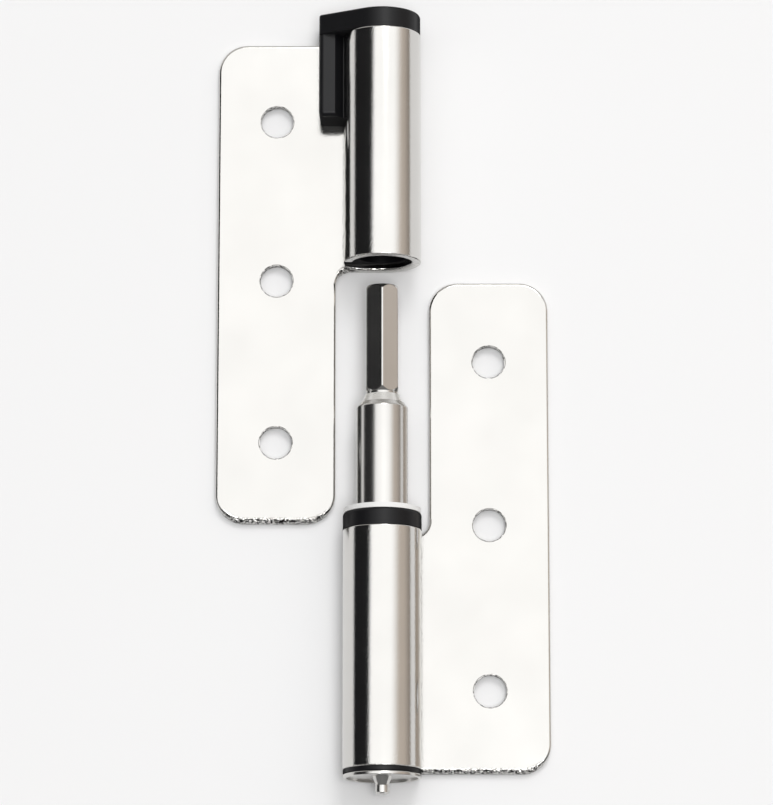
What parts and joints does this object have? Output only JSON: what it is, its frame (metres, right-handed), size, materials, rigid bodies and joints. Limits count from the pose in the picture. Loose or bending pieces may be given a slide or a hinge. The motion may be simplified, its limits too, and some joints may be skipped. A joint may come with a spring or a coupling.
{
  "type": "lift off hinge",
  "caption": "Butt hinge of two pressed steel leaves with rolled knuckles; the upper leaf lifts off a hexagon spindle that turns in a damper in the lower knuckle.",
  "frame": {"origin": "centre of the whole hinge's box, as it lies lifted off, on the plane that the leaves' backs lie in", "axes": "+Y along the pin axis towards the capped end, +Z out of the leaves' faces, +X towards the lower leaf"},
  "size_m": [0.0684, 0.1624, 0.016],
  "materials": {
    "leaf_steel": "tumbled and polished stainless steel",
    "bright_steel": "bright turned steel",
    "grey_metal": "satin die casting",
    "black_plastic": "moulded, semi gloss",
    "white_plastic": "moulded, smooth",
    "seal_rubber": "moulded"
  },
  "bodies": {
    "lower_half": {"lower_leaf": "leaf_steel", "lower_collar": "black_plastic", "thrust_washer": "white_plastic", "foot_bush": "black_plastic", "end_disc": "bright_steel", "end_screw": "bright_steel", "damper_tube": "bright_steel", "bearing_cap": "grey_metal", "chamber_liner": "white_plastic", "tube_plug": "grey_metal", "gland_seal": "seal_rubber", "shaft_seal": "seal_rubber", "plug_seal": "seal_rubber"},
    "spindle_group": {"spindle": "bright_steel", "valve_shoe": "white_plastic", "thrust_ring": "white_plastic"},
    "upper_half": {"upper_leaf": "leaf_steel", "upper_cap": "black_plastic", "upper_bush": "black_plastic"}
  },
  "joints": [
    {"name": "swing", "type": "hinge", "parent": "lower_half", "child": "spindle_group", "pos_m": [0, 0, 0.008], "axis": [0, 1, 0], "range_deg": [0, 180]},
    {"name": "lift_off", "type": "slide", "parent": "spindle_group", "child": "upper_half", "axis": [0, 1, 0], "range_m": [-0.0514, 0]}
  ]
}
